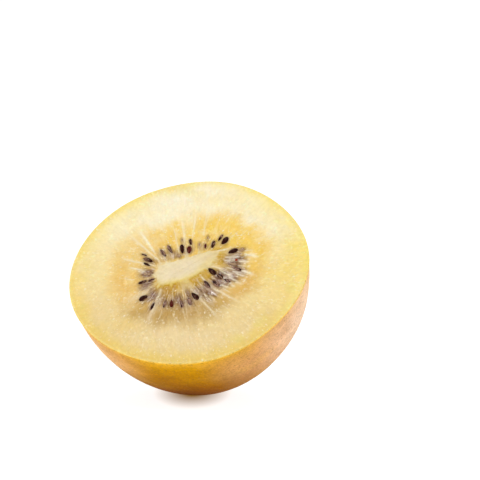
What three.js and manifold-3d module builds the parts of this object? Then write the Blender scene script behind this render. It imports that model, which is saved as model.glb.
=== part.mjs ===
// One half of a golden kiwi fruit, cut crosswise, lying on its round side with the
// cut face looking forward and up. Millimetres, +Z up. The origin is the middle of
// the small flat spot that the fruit rests on, and the cut face looks towards -Y.
//
// The skin, flesh and pale middle grew as one piece, so they are one solid. The seeds
// are pieces of their own: each sits in a small pocket that is open at the cut face
// and could be picked out with a needle.
import * as THREE from 'three';
import { mergeVertices } from 'three/addons/utils/BufferGeometryUtils.js';
import Module from 'manifold-3d';

// ---------------------------------------------------------------- driving dimensions
const SECTION_RADIUS = 25.3;      // mean radius of the cut section
const HALF_DEPTH = 36.736;        // from the cut face to the stem end
const FACE_RISE_DEG = 38.87;      // the face's normal points this far above level
const FACE_TURN_DEG = -8.27;      // and is turned this far about the vertical
const FACE_CENTRE = [-1.615, -11.012, 30.135];  // middle of the cut face
const REST_SPOT_Z = 0;            // height of the flat spot, which trims 0.4 mm off
const SIDE_POWER = [2.244, 1.925];              // fullness of the side, face to end
const SIDE_SWELL = [-0.0435, 0.0803];           // slight slack and swell of the side
// how far the section is from a circle: cosine and sine terms of 2 to 6 lobes, as
// fractions of the radius, at the cut, and how it changes towards the end
const SECTION_LOBES = [0.0617, 0.0423, -0.0042, 0.0005, 0.0053, 0.0072, 0.0042, 0.0001, 0.0014, 0.0017];
const SECTION_CHANGE = [0.0014, -0.0264, 0.0109, 0.0007];
const END_LEAN = [0.051, 0.384];  // the end sits this far off the middle, across and up
const AROUND = 64;                // facets round the fruit
const ALONG = 18;                 // rows from the cut face to the end
const EDGE_BREAK = 0.25;          // tiny round where the knife left the skin edge
const STEM_DIP_RADIUS = 4.6;      // shallow hollow round the stem scar
const STEM_DIP_DEPTH = 1.3;
const STEM_SCAR_RADIUS = 1.5;     // the corky scar stands up in the hollow
const STEM_SCAR_HEIGHT = 0.7;
const SEED_GAP = 0.28;            // free space between a seed and its pocket
const SEED_TAPER = 0.24;          // the end towards the middle is narrower by this much

// Seeds on the cut face: across, up (from the middle of the face), length, width,
// thickness, direction of the long axis in the face (degrees), depth of the centre
// below the face. A seed seen end on has its length into the fruit.
const SEEDS = [
  [-10.62, 3.80, 1.60, 0.56, 0.80, -17, 0.16],
  [-9.66, 2.56, 2.42, 1.02, 0.92, -21, 0.14],
  [-9.70, 1.32, 2.06, 0.70, 0.90, -23, 0.16],
  [-9.33, -0.99, 2.00, 0.92, 0.90, 10, 0.34],
  [-10.30, -3.28, 2.06, 0.66, 0.90, 27, 0.16],
  [-8.14, -2.66, 1.86, 0.88, 0.90, 25, 0.24],
  [-9.63, -7.40, 2.14, 1.16, 0.95, 39, 0.10],
  [-7.33, -9.48, 2.18, 0.66, 1.00, 70, 0.14],
  [-4.58, -8.71, 1.92, 0.72, 0.95, 77, 0.22],
  [-3.07, -8.60, 1.98, 0.84, 0.90, -84, 0.16],
  [-0.78, -8.59, 2.10, 0.80, 0.95, -73, 0.22],
  [0.31, -5.62, 1.70, 0.72, 0.85, -61, 0.36],
  [0.90, -7.95, 2.06, 0.90, 0.90, -64, 0.20],
  [2.06, -6.56, 2.34, 1.12, 0.95, -43, 0.08],
  [3.83, -4.95, 1.80, 0.86, 0.85, -42, 0.36],
  [4.44, -3.37, 2.44, 0.90, 0.95, -51, 0.14],
  [6.44, -3.10, 2.26, 1.00, 0.92, -40, 0.20],
  [5.31, -0.07, 2.32, 1.16, 0.98, -37, 0.08],
  [7.22, -1.26, 1.84, 1.08, 0.92, -37, 0.18],
  [8.98, -2.34, 1.76, 0.82, 0.90, -31, 0.24],
  [10.90, 0.76, 2.24, 0.78, 0.90, -17, 0.20],
  [9.94, 1.99, 2.16, 0.66, 0.85, -11, 0.36],
  [10.57, 3.10, 0.92, 0.90, 2.00, -13, 0.92],
  [9.58, 5.36, 2.36, 1.10, 0.95, 26, 0.10],
  [11.62, 5.80, 1.46, 0.84, 0.85, 20, 0.36],
  [7.48, 7.98, 2.26, 1.26, 0.98, 55, 0.06],
  [6.40, 8.74, 2.04, 0.66, 0.95, 63, 0.14],
  [4.86, 7.03, 1.98, 0.82, 0.95, 80, 0.14],
  [3.13, 6.47, 1.50, 0.66, 0.90, -85, 0.26],
  [3.49, 8.55, 1.60, 0.66, 0.85, 89, 0.34],
  [1.69, 6.65, 1.72, 0.64, 0.85, -89, 0.34],
  [-0.37, 7.52, 1.66, 0.76, 0.92, -75, 0.14],
  [-0.46, 5.36, 2.10, 1.14, 0.95, -87, 0.12],
  [-2.13, 5.60, 2.36, 1.00, 0.98, -79, 0.08],
  [-2.36, 7.84, 1.34, 0.60, 0.80, -79, 0.30],
  [-2.62, 3.60, 1.40, 0.62, 0.80, -65, 0.34],
  [-6.43, 4.51, 2.52, 0.90, 0.92, -53, 0.20],
  [-4.90, 5.46, 2.60, 0.94, 0.92, -57, 0.20],
];

// ------------------------------------------------------------------- the face's frame
const rise = THREE.MathUtils.degToRad(FACE_RISE_DEG);
const turn = THREE.MathUtils.degToRad(FACE_TURN_DEG);
const N = new THREE.Vector3(
  Math.sin(turn) * Math.cos(rise), -Math.cos(turn) * Math.cos(rise), Math.sin(rise));
const ACROSS = new THREE.Vector3(0, 0, 1).cross(N).normalize();
const UP = new THREE.Vector3().crossVectors(N, ACROSS);
// columns: across, up and out of the face
const faceFrame = new THREE.Matrix4().makeBasis(ACROSS, UP, N);
faceFrame.setPosition(...FACE_CENTRE);

// ------------------------------------------------------------------------- small tools
const wasm = await Module();
wasm.setup();

function bare(geometry) {
  const g = geometry.index ? geometry.toNonIndexed() : geometry.clone();
  g.deleteAttribute('normal');
  g.deleteAttribute('uv');
  return mergeVertices(g, 1e-5);
}

function solid(geometry) {
  const g = bare(geometry);
  const kept = [];
  const i = g.index.array;
  for (let k = 0; k < i.length; k += 3) {
    if (i[k] !== i[k + 1] && i[k + 1] !== i[k + 2] && i[k + 2] !== i[k]) kept.push(i[k], i[k + 1], i[k + 2]);
  }
  return new wasm.Manifold(new wasm.Mesh({
    numProp: 3,
    vertProperties: new Float32Array(g.attributes.position.array),
    triVerts: new Uint32Array(kept),
  }));
}

function toGeometry(manifold) {
  const m = manifold.getMesh();
  const g = new THREE.BufferGeometry();
  g.setAttribute('position', new THREE.BufferAttribute(new Float32Array(m.vertProperties), 3));
  g.setIndex(new THREE.BufferAttribute(new Uint32Array(m.triVerts), 1));
  g.computeVertexNormals();
  return g;
}

function lobes(phi, terms) {
  let sum = 0;
  for (let k = 0; k < terms.length; k += 2) {
    sum += terms[k] * Math.cos((k / 2 + 2) * phi) + terms[k + 1] * Math.sin((k / 2 + 2) * phi);
  }
  return sum;
}

// ------------------------------------------------------------------ the fruit's outline
function sideRadius(s) {
  const full = Math.pow(Math.max(0, 1 - Math.pow(s, SIDE_POWER[0])), 1 / SIDE_POWER[1]);
  return SECTION_RADIUS * full * (1 + 2 * SIDE_SWELL[0] * s * (1 - s) + 4 * SIDE_SWELL[1] * s * s * (1 - s));
}

// how far from the cut face the side has narrowed to a given radius
function sideDepth(radius) {
  let near = 0.5;
  let far = 1;
  for (let k = 0; k < 40; k += 1) {
    const mid = (near + far) / 2;
    if (sideRadius(mid) > radius) near = mid; else far = mid;
  }
  return HALF_DEPTH * far;
}

// the stem end is flattened into a shallow hollow with the scar standing in it
function stemEndDepth(radius) {
  const t = Math.min(1, radius / STEM_DIP_RADIUS);
  return sideDepth(radius) - STEM_DIP_DEPTH * Math.pow(1 - t * t, 2);
}

// half outline turned about the fruit's own axis: x is the radius, y the height from the face
const outline = [new THREE.Vector2(0, 0)];
outline.push(new THREE.Vector2(SECTION_RADIUS * 0.55, 0));
outline.push(new THREE.Vector2(SECTION_RADIUS - EDGE_BREAK, 0));
for (let row = 0; row < ALONG; row += 1) {
  const s = row === 0 ? EDGE_BREAK / HALF_DEPTH : Math.sin((row / ALONG) * Math.PI * 0.5);
  const radius = sideRadius(s);
  if (radius > STEM_DIP_RADIUS + 0.8) outline.push(new THREE.Vector2(radius, -HALF_DEPTH * s));
}
for (const radius of [STEM_DIP_RADIUS, 3.7, 2.8, 2.1, STEM_SCAR_RADIUS + 0.15]) {
  outline.push(new THREE.Vector2(radius, -stemEndDepth(radius)));
}
const scarFloor = -stemEndDepth(STEM_SCAR_RADIUS);
outline.push(new THREE.Vector2(STEM_SCAR_RADIUS - 0.1, scarFloor - STEM_SCAR_HEIGHT * 0.8));
outline.push(new THREE.Vector2(STEM_SCAR_RADIUS - 0.5, scarFloor - STEM_SCAR_HEIGHT));
outline.push(new THREE.Vector2(0, scarFloor - STEM_SCAR_HEIGHT * 0.75));

function reshape(geometry) {
  const p = geometry.attributes.position;
  for (let k = 0; k < p.count; k += 1) {
    const x = p.getX(k);
    const y = p.getY(k);
    const z = p.getZ(k);
    const phi = Math.atan2(x, z);
    const s = Math.min(1, Math.max(0, -y / HALF_DEPTH));
    const wide = 1 + (1 - s * s) * (lobes(phi, SECTION_LOBES) + 2 * s * lobes(phi, SECTION_CHANGE));
    // across, up, out of the face
    p.setXYZ(k, z * wide + s * s * END_LEAN[0], x * wide + s * s * END_LEAN[1], y);
  }
  geometry.applyMatrix4(faceFrame);
  return geometry;
}

// The outline runs from the face's middle round to the stem end.
const turned = reshape(bare(new THREE.LatheGeometry(outline.reverse(), AROUND)));
let fruit = solid(turned);

// the flat spot that it rests on
const floor = new THREE.BoxGeometry(120, 120, 20);
floor.translate(0, 0, REST_SPOT_Z - 10);
fruit = fruit.subtract(solid(floor));

// ------------------------------------------------------------------------------- seeds
// A seed is a flattened drop: wide at the outer end, narrower towards the middle. With
// a gap added it is the pocket that the seed lies in: round below, with straight walls
// up through the cut face, so that no flesh bridges two pockets that meet.
function seedGeometry([across, up, length, width, thickness, angle, depth], gap) {
  const g = new THREE.SphereGeometry(1, 8, 6);
  const endOn = thickness > length;
  const mouth = depth + 0.5;
  const p = g.attributes.position;
  for (let k = 0; k < p.count; k += 1) {
    let [x, y, z] = [p.getX(k), p.getY(k), p.getZ(k)];
    if (endOn) [y, z] = [z, -y];
    const slim = endOn ? 1 + 0.1 * z : 1 + SEED_TAPER * y;
    const high = z > 1e-6;
    if (gap > 0 && high && endOn) {
      const ring = Math.max(1e-9, Math.hypot(x, y));
      if (ring > 1e-6) [x, y] = [x / ring, y / ring];
    } else if (gap > 0 && high) {
      x = Math.abs(x) > 1e-6 ? Math.sign(x) * Math.hypot(x, z) : 0;
    }
    x *= slim * (width / 2 + gap);
    y *= (endOn ? slim : 1) * (length / 2 + gap);
    z = gap > 0 && high ? mouth : z * (endOn ? 1 : slim) * (thickness / 2 + gap);
    p.setXYZ(k, x, y, z);
  }
  // the wide end points away from the middle of the face
  let direction = THREE.MathUtils.degToRad(angle);
  if (Math.cos(direction) * across + Math.sin(direction) * up < 0) direction += Math.PI;
  g.rotateZ(direction - Math.PI / 2);
  g.translate(across, up, -depth);
  g.applyMatrix4(faceFrame);
  return g;
}

const flesh = new THREE.MeshStandardMaterial({ color: 0xe9c873, roughness: 0.42, metalness: 0 });
const seedSkin = new THREE.MeshStandardMaterial({ color: 0x2a1310, roughness: 0.28, metalness: 0 });

const group = new THREE.Group();
SEEDS.forEach((seed, k) => {
  fruit = fruit.subtract(solid(seedGeometry(seed, SEED_GAP)));
  const mesh = new THREE.Mesh(toGeometry(solid(seedGeometry(seed, 0))), seedSkin.clone());
  mesh.name = `seed_${String(k + 1).padStart(2, '0')}`;
  group.add(mesh);
});

const body = new THREE.Mesh(toGeometry(fruit), flesh);
body.name = 'fruit_half';
group.add(body);

export default group;
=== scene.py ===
"""A golden kiwi fruit cut crosswise: one half lying on its skin, cut face up and forward."""
import math

import bpy
import numpy as np
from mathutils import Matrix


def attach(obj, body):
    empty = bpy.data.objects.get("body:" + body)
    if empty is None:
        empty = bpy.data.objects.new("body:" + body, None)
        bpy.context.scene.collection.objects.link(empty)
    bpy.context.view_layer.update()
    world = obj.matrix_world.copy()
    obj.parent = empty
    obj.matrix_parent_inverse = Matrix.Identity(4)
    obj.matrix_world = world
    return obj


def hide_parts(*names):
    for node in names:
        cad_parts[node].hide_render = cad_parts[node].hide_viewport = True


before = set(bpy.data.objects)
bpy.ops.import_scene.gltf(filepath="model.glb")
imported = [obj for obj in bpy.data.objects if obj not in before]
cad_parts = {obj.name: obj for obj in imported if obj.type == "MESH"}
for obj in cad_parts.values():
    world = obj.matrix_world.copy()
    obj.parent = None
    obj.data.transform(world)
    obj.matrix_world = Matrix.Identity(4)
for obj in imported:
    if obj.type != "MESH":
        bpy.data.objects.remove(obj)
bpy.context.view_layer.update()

# ------------------------------------------------------------------ the fruit's measures
# Millimetres here; the meshes are scaled to metres at the end. The same outline as the
# solid: a section turned about the fruit's axis, slightly lobed.
R0 = 25.3
DEPTH = 36.736
RISE = math.radians(38.87)
TURN = math.radians(-8.27)
CENTRE = np.array([-1.615, -11.012, 30.135])
POWER = (2.244, 1.925)
SWELL = (-0.0435, 0.0803)
LOBES = (0.0617, 0.0423, -0.0042, 0.0005, 0.0053, 0.0072, 0.0042, 0.0001, 0.0014, 0.0017)
CHANGE = (0.0014, -0.0264, 0.0109, 0.0007)
LEAN = (0.051, 0.384)
DIP_R, DIP_D = 4.6, 1.3

OUT = np.array([math.sin(TURN) * math.cos(RISE), -math.cos(TURN) * math.cos(RISE), math.sin(RISE)])
ACROSS = np.cross([0.0, 0.0, 1.0], OUT)
ACROSS /= np.linalg.norm(ACROSS)
UP = np.cross(OUT, ACROSS)

# The pale middle's edge, and which ray leaves it where: the angle at which the ray
# reaches the skin, then across and up in the cut face.
CORE = np.array([
    (0, 5.55, 3.1), (-9, 5.0, 2.25), (-20, 3.85, 0.85), (-30, 2.75, -0.5), (-42, 1.35, -1.65),
    (-53, 0.1, -2.4), (-67, -1.0, -2.85), (-81, -2.1, -3.2), (-100, -3.8, -3.75), (-116, -5.3, -4.1),
    (-135, -6.45, -4.0), (-150, -6.95, -3.3), (-166, -7.2, -2.35), (-179, -7.3, -1.5),
    (-188, -7.3, -0.7), (-197, -7.25, 0.1), (-210, -6.95, 0.85), (-224, -6.1, 1.45),
    (-238, -4.5, 2.0), (-250, -2.95, 2.6), (-260, -1.5, 3.15), (-270, 0.0, 3.7), (-281, 1.7, 4.4),
    (-296, 3.5, 4.95), (-316, 5.1, 5.4), (-331, 6.15, 5.4), (-343, 6.6, 4.85), (-352, 6.25, 4.0),
])
CORE_AXIS = np.array([math.cos(math.radians(35.0)), math.sin(math.radians(35.0))])
CORE_MID = np.array([-0.55, 0.85])


def smooth(a, b, x):
    t = np.clip((x - a) / (b - a), 0.0, 1.0)
    return t * t * (3 - 2 * t)


def bump(x, centre, width):
    return np.exp(-((x - centre) / width) ** 2)


def hash01(ix, iy, seed):
    h = (ix.astype(np.int64) * 374761393 + iy.astype(np.int64) * 668265263 + seed * 1442695041) & 0xFFFFFFFF
    h = ((h ^ (h >> 13)) * 1274126177) & 0xFFFFFFFF
    h = h ^ (h >> 16)
    return (h & 0xFFFFFF) / float(0xFFFFFF)


def noise(x, y, seed, wrap=0):
    """Smooth value noise from -1 to 1. With wrap, x repeats after that many cells."""
    ix, iy = np.floor(x), np.floor(y)
    fx, fy = x - ix, y - iy
    fx, fy = fx * fx * (3 - 2 * fx), fy * fy * (3 - 2 * fy)

    def at(i, j):
        i = np.mod(i, wrap) if wrap else i
        return hash01(i, j, seed)

    a = at(ix, iy) * (1 - fx) + at(ix + 1, iy) * fx
    b = at(ix, iy + 1) * (1 - fx) + at(ix + 1, iy + 1) * fx
    return 2 * (a * (1 - fy) + b * fy) - 1


def fbm(x, y, seed, octaves=3, wrap=0):
    total, size = 0.0, 0.0
    for k in range(octaves):
        amp = 0.55 ** k
        total = total + amp * noise(x * 2 ** k, y * 2 ** k, seed + 17 * k, wrap * 2 ** k)
        size += amp
    return total / size


def lobes(phi, terms):
    total = 0.0
    for k in range(len(terms) // 2):
        total = total + terms[2 * k] * np.cos((k + 2) * phi) + terms[2 * k + 1] * np.sin((k + 2) * phi)
    return total


def side_radius(s):
    full = np.maximum(0.0, 1 - s ** POWER[0]) ** (1 / POWER[1])
    return R0 * full * (1 + 2 * SWELL[0] * s * (1 - s) + 4 * SWELL[1] * s * s * (1 - s))


def rim_point(phi):
    r = R0 * (1 + lobes(phi, LOBES))
    return r * np.cos(phi), r * np.sin(phi)


def periodic_spline(x, y, at):
    """Cubic curve through the points, period 2 pi, with slopes from both neighbours."""
    order = np.argsort(x)
    x, y = x[order], y[order]
    xe = np.concatenate([x[-2:] - 2 * math.pi, x, x[:3] + 2 * math.pi])
    ye = np.concatenate([y[-2:], y, y[:3]])
    slope = np.zeros_like(ye)
    h = np.diff(xe)
    d = np.diff(ye) / h
    slope[1:-1] = (d[:-1] * h[1:] + d[1:] * h[:-1]) / (h[:-1] + h[1:])
    a = np.mod(at - x[0], 2 * math.pi) + x[0]
    k = np.clip(np.searchsorted(xe, a, side="right") - 1, 1, len(xe) - 3)
    t = (a - xe[k]) / h[k]
    h00, h10 = 2 * t ** 3 - 3 * t ** 2 + 1, t ** 3 - 2 * t ** 2 + t
    h01, h11 = -2 * t ** 3 + 3 * t ** 2, t ** 3 - t ** 2
    return h00 * ye[k] + h10 * h[k] * slope[k] + h01 * ye[k + 1] + h11 * h[k] * slope[k + 1]


def core_point(phi):
    ang = np.radians(CORE[:, 0])
    return periodic_spline(ang, CORE[:, 1], phi), periodic_spline(ang, CORE[:, 2], phi)


# ------------------------------------------------------------------- what is on the cut face
# The pale rays that stand out one by one: from, to (across, up), half width in mm at
# the start and the end, strength. The rest of the rays come from noise.
STROKES = [
    (-8.2, 4.25, -12.6, 10.4, 0.15, 0.34, 1.00), (-9.8, 6.6, -11.7, 9.3, 0.20, 0.30, 0.40),
    (-6.9, 2.2, -14.6, 8.8, 0.13, 0.16, 0.72), (-11.2, 6.0, -13.6, 8.1, 0.14, 0.18, 0.60),
    (-7.6, 0.9, -16.0, 2.8, 0.11, 0.17, 0.72), (-12.0, 1.7, -15.9, 2.75, 0.15, 0.14, 0.65),
    (-9.9, -0.45, -13.9, 0.40, 0.12, 0.20, 0.85), (-12.2, -2.9, -14.9, -2.45, 0.10, 0.12, 0.50),
    (-12.9, 5.0, -14.3, 5.7, 0.12, 0.10, 0.40), (-8.4, -5.3, -13.3, -8.5, 0.34, 0.62, 0.62),
    (-8.9, -5.6, -11.2, -7.1, 0.12, 0.14, 0.40),
    (-5.9, -4.8, -6.6, -9.0, 0.22, 0.22, 0.80), (-6.5, -8.4, -8.2, -14.6, 0.24, 0.36, 0.75),
    (-3.0, -4.6, -3.0, -7.2, 0.09, 0.07, 0.60), (-2.2, -4.6, -1.9, -6.6, 0.07, 0.06, 0.30),
    (-4.2, -5.2, -4.4, -6.8, 0.08, 0.06, 0.30),
    (-1.0, -4.4, -0.4, -7.6, 0.08, 0.08, 0.55), (0.0, -8.0, 1.0, -12.6, 0.10, 0.10, 0.55),
    (0.6, -3.9, 1.5, -5.8, 0.08, 0.08, 0.35),
    (0.9, -4.6, 2.8, -6.7, 0.14, 0.16, 0.72), (2.7, -6.5, 7.9, -12.2, 0.20, 0.17, 0.85),
    (2.9, -1.4, 6.0, -4.6, 0.12, 0.16, 0.85), (5.8, -4.35, 11.6, -7.5, 0.17, 0.16, 0.80),
    (2.0, -2.2, 4.3, -5.2, 0.10, 0.12, 0.50), (4.0, -5.5, 6.6, -8.8, 0.10, 0.10, 0.40),
    (4.9, 1.3, 9.3, -0.1, 0.09, 0.12, 0.75), (7.0, 0.3, 10.4, -1.6, 0.12, 0.12, 0.80),
    (6.6, -0.6, 9.4, -2.6, 0.09, 0.10, 0.60), (8.8, -1.1, 12.1, -2.9, 0.10, 0.12, 0.70),
    (9.4, -2.9, 10.0, -3.2, 0.12, 0.12, 0.80), (7.6, -3.4, 9.4, -4.3, 0.14, 0.12, 0.85),
    (9.9, -3.5, 11.0, -3.8, 0.16, 0.14, 0.75), (11.9, 0.35, 14.9, -0.75, 0.14, 0.18, 1.00),
    (8.3, 1.0, 12.0, 0.30, 0.10, 0.12, 0.70), (7.6, 2.9, 10.4, 2.75, 0.12, 0.10, 0.60),
    (11.3, 2.75, 13.6, 2.70, 0.13, 0.10, 0.80), (7.9, 3.75, 11.3, 3.95, 0.12, 0.12, 0.80),
    (12.2, 4.6, 15.7, 3.90, 0.14, 0.22, 1.00), (13.4, 4.75, 14.9, 4.55, 0.20, 0.16, 0.75),
    (5.9, 5.15, 9.0, 6.15, 0.10, 0.10, 0.70), (12.9, 3.4, 13.9, 3.2, 0.12, 0.08, 0.55),
    (13.1, 1.3, 13.9, 1.2, 0.14, 0.10, 0.45), (12.1, -1.9, 13.5, -2.4, 0.10, 0.09, 0.45),
    (-2.6, 4.4, -5.0, 12.3, 0.10, 0.14, 0.62), (-3.5, 8.8, -4.3, 11.6, 0.12, 0.14, 0.35),
    (-1.6, 6.9, -3.0, 14.4, 0.15, 0.30, 0.66), (0.0, 8.3, 0.1, 15.4, 0.12, 0.20, 0.66),
    (-0.9, 4.0, -1.7, 7.6, 0.07, 0.09, 0.45), (2.4, 9.3, 2.65, 14.8, 0.11, 0.16, 0.50),
    (5.0, 11.0, 5.9, 14.6, 0.09, 0.12, 0.28), (-5.3, 2.4, -8.0, 6.2, 0.10, 0.10, 0.40),
    (-3.9, 2.6, -5.3, 6.6, 0.08, 0.08, 0.35), (7.2, 7.0, 10.2, 10.4, 0.08, 0.10, 0.25),
    (11.2, 9.6, 12.6, 11.2, 0.10, 0.10, 0.30),
    (10.6, -0.4, 13.2, -1.2, 0.12, 0.14, 0.75), (9.8, 0.2, 12.4, -0.4, 0.10, 0.12, 0.60), (8.7, 3.0, 11.0, 3.1, 0.12, 0.14, 0.70),
    (11.0, 1.7, 13.0, 1.4, 0.10, 0.12, 0.60), (8.0, -4.3, 10.2, -5.6, 0.12, 0.12, 0.60), (5.2, -6.2, 7.0, -8.2, 0.12, 0.10, 0.50),
    (10.9, -2.6, 12.6, -3.3, 0.12, 0.16, 0.70), (12.4, 5.5, 14.4, 5.6, 0.10, 0.12, 0.50), (-8.6, 2.9, -12.0, 4.9, 0.10, 0.12, 0.40),
]

# Outline of the golden inner zone: angle in degrees, distance from the middle.
AMBER = np.array([
    (98, 14.6), (80, 15.0), (60, 17.5), (48, 17.6), (36, 18.6), (27, 19.6), (17, 19.2), (5, 16.9),
    (-6, 16.9), (-16, 15.8), (-25, 13.9), (-35, 13.3), (-45, 13.5), (-55, 13.9), (-69, 13.7),
    (-89, 13.7), (-107, 14.4), (-113, 15.2), (-120, 16.2), (-133, 17.4), (-141, 17.8), (-153, 17.4),
    (-165, 18.0), (-177, 18.2), (-190, 17.8), (-203, 17.5), (-212, 16.4), (-221, 16.0), (-231, 14.1),
    (-243, 13.0), (-253, 13.6),
])

# The darker, glassy pulp round the seeds, in patches: across, up, half length, half
# width, the angle it lies at, strength, tint.
GEL = [
    (-9.3, -0.9, 2.0, 1.2, 8, 0.95, 1), (-9.2, -3.6, 2.0, 1.1, 25, 0.85, 1), (-7.3, -6.3, 1.7, 1.3, 62, 0.75, 0),
    (-9.0, -7.9, 1.8, 0.9, 45, 0.55, 0), (-5.0, -7.9, 1.9, 1.0, 78, 0.60, 0), (-3.1, -8.0, 2.0, 0.7, -85, 0.65, 0),
    (-1.0, -8.0, 2.1, 0.9, -76, 0.75, 0), (0.9, -6.9, 2.3, 0.9, -66, 0.85, 0), (2.9, -5.9, 2.3, 1.1, -52, 0.75, 0),
    (4.4, -5.0, 2.4, 1.1, -46, 0.90, 0), (4.6, -6.8, 2.2, 0.9, -46, 0.65, 0), (6.3, -3.6, 2.2, 0.9, -42, 0.80, 0),
    (7.9, -1.4, 2.6, 1.0, -34, 0.90, 0), (9.2, -0.5, 2.4, 1.0, -26, 0.85, 0), (10.9, 0.6, 2.0, 0.9, -16, 0.85, 1),
    (10.3, 2.2, 2.3, 1.0, -6, 0.85, 1), (10.9, 3.6, 2.0, 0.8, 4, 0.80, 1), (12.0, 3.0, 1.2, 0.8, 0, 0.50, 1),
    (12.0, 0.4, 1.3, 0.8, -12, 0.55, 1), (10.9, 5.0, 1.8, 0.6, 18, 0.45, 0), (6.9, 7.9, 1.8, 1.0, 55, 0.10, 0),
    (4.7, 6.6, 1.9, 1.0, 75, 0.40, 0), (2.6, 6.3, 1.8, 0.9, 85, 0.42, 1), (0.1, 5.8, 1.9, 0.8, 90, 0.42, 1),
    (-1.6, 5.3, 2.0, 0.9, 103, 0.45, 1), (-3.2, 3.9, 1.7, 1.1, 120, 0.62, 1), (-4.6, 4.0, 2.2, 0.9, 125, 0.50, 1),
    (-6.1, 3.3, 2.2, 0.9, 130, 0.50, 1), (-7.7, 2.0, 1.9, 1.0, 155, 0.20, 1), (-9.2, 2.3, 1.9, 1.0, 162, 0.45, 0),
    (-7.6, -6.6, 1.9, 1.0, 55, 0.80, 1), (-6.6, -8.2, 1.6, 0.8, 70, 0.60, 1), (-1.9, -7.3, 1.8, 0.8, 80, 0.60, 1),
    (5.6, -4.9, 2.2, 0.9, -44, 0.80, 1), (7.4, -2.6, 2.4, 1.0, -38, 0.85, 1), (9.6, -1.2, 2.2, 1.0, -28, 0.85, 1),
    (11.4, -0.2, 1.8, 0.8, -20, 0.70, 1), (9.2, 3.6, 1.6, 0.8, 8, 0.55, 1), (2.4, -5.6, 1.6, 0.8, -50, 0.55, 1),
]

SEEDS = [
    (-10.62, 3.80, 1.60, 0.56, 0.80, -17, 0.16), (-9.66, 2.56, 2.42, 1.02, 0.92, -21, 0.14),
    (-9.70, 1.32, 2.06, 0.70, 0.90, -23, 0.16), (-9.33, -0.99, 2.00, 0.92, 0.90, 10, 0.34),
    (-10.30, -3.28, 2.06, 0.66, 0.90, 27, 0.16), (-8.14, -2.66, 1.86, 0.88, 0.90, 25, 0.24),
    (-9.63, -7.40, 2.14, 1.16, 0.95, 39, 0.10), (-7.33, -9.48, 2.18, 0.66, 1.00, 70, 0.14),
    (-4.58, -8.71, 1.92, 0.72, 0.95, 77, 0.22), (-3.07, -8.60, 1.98, 0.84, 0.90, -84, 0.16),
    (-0.78, -8.59, 2.10, 0.80, 0.95, -73, 0.22), (0.31, -5.62, 1.70, 0.72, 0.85, -61, 0.36),
    (0.90, -7.95, 2.06, 0.90, 0.90, -64, 0.20), (2.06, -6.56, 2.34, 1.12, 0.95, -43, 0.08),
    (3.83, -4.95, 1.80, 0.86, 0.85, -42, 0.36), (4.44, -3.37, 2.44, 0.90, 0.95, -51, 0.14),
    (6.44, -3.10, 2.26, 1.00, 0.92, -40, 0.20), (5.31, -0.07, 2.32, 1.16, 0.98, -37, 0.08),
    (7.22, -1.26, 1.84, 1.08, 0.92, -37, 0.18), (8.98, -2.34, 1.76, 0.82, 0.90, -31, 0.24),
    (10.90, 0.76, 2.24, 0.78, 0.90, -17, 0.20), (9.94, 1.99, 2.16, 0.66, 0.85, -11, 0.36),
    (10.57, 3.10, 0.92, 0.90, 2.00, -13, 0.92), (9.58, 5.36, 2.36, 1.10, 0.95, 26, 0.10),
    (11.62, 5.80, 1.46, 0.84, 0.85, 20, 0.36), (7.48, 7.98, 2.26, 1.26, 0.98, 55, 0.06),
    (6.40, 8.74, 2.04, 0.66, 0.95, 63, 0.14), (4.86, 7.03, 1.98, 0.82, 0.95, 80, 0.14),
    (3.13, 6.47, 1.50, 0.66, 0.90, -85, 0.26), (3.49, 8.55, 1.60, 0.66, 0.85, 89, 0.34),
    (1.69, 6.65, 1.72, 0.64, 0.85, -89, 0.34), (-0.37, 7.52, 1.66, 0.76, 0.92, -75, 0.14),
    (-0.46, 5.36, 2.10, 1.14, 0.95, -87, 0.12), (-2.13, 5.60, 2.36, 1.00, 0.98, -79, 0.08),
    (-2.36, 7.84, 1.34, 0.60, 0.80, -79, 0.30), (-2.62, 3.60, 1.40, 0.62, 0.80, -65, 0.34),
    (-6.43, 4.51, 2.52, 0.90, 0.92, -53, 0.20), (-4.90, 5.46, 2.60, 0.94, 0.92, -57, 0.20),
]
# how each seed shows: b black and bare, h half bare, v veiled by a film of pulp,
# r reddish, o orange red, f faint
LOOK = "hhbfhvbhvrvfvbfvvbhvvfobfbhhrffhrbffvv"


def srgb(r, g, b):
    c = np.array([r, g, b]) / 255.0
    return np.where(c <= 0.04045, c / 12.92, ((c + 0.055) / 1.055) ** 2.4)


def mix(a, b, w):
    return a * (1 - w[..., None]) + b * w[..., None]


def stroke_field(u, v, wobble):
    """How strongly the single rays show at each point, 0 to 1."""
    field = np.zeros_like(u)
    for x0, y0, x1, y1, w0, w1, strength in STROKES:
        dx, dy = x1 - x0, y1 - y0
        length = math.hypot(dx, dy)
        near = (np.abs(u - (x0 + x1) / 2) < abs(dx) / 2 + 2) & (np.abs(v - (y0 + y1) / 2) < abs(dy) / 2 + 2)
        if not near.any():
            continue
        uu, vv = u[near], v[near]
        along = ((uu - x0) * dx + (vv - y0) * dy) / length
        across = ((uu - x0) * -dy + (vv - y0) * dx) / length + wobble[near] * 0.12
        t = along / length
        width = 1.30 * (w0 + (w1 - w0) * np.clip(t, 0, 1))
        ends = smooth(-0.10, 0.14, t) * (1 - smooth(0.62, 1.15, t))
        value = strength * ends * (0.62 * np.exp(-(across / width) ** 2) + 0.38 * np.exp(-(across / (2.5 * width)) ** 2))
        field[near] = np.maximum(field[near], value)
    return field


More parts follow.
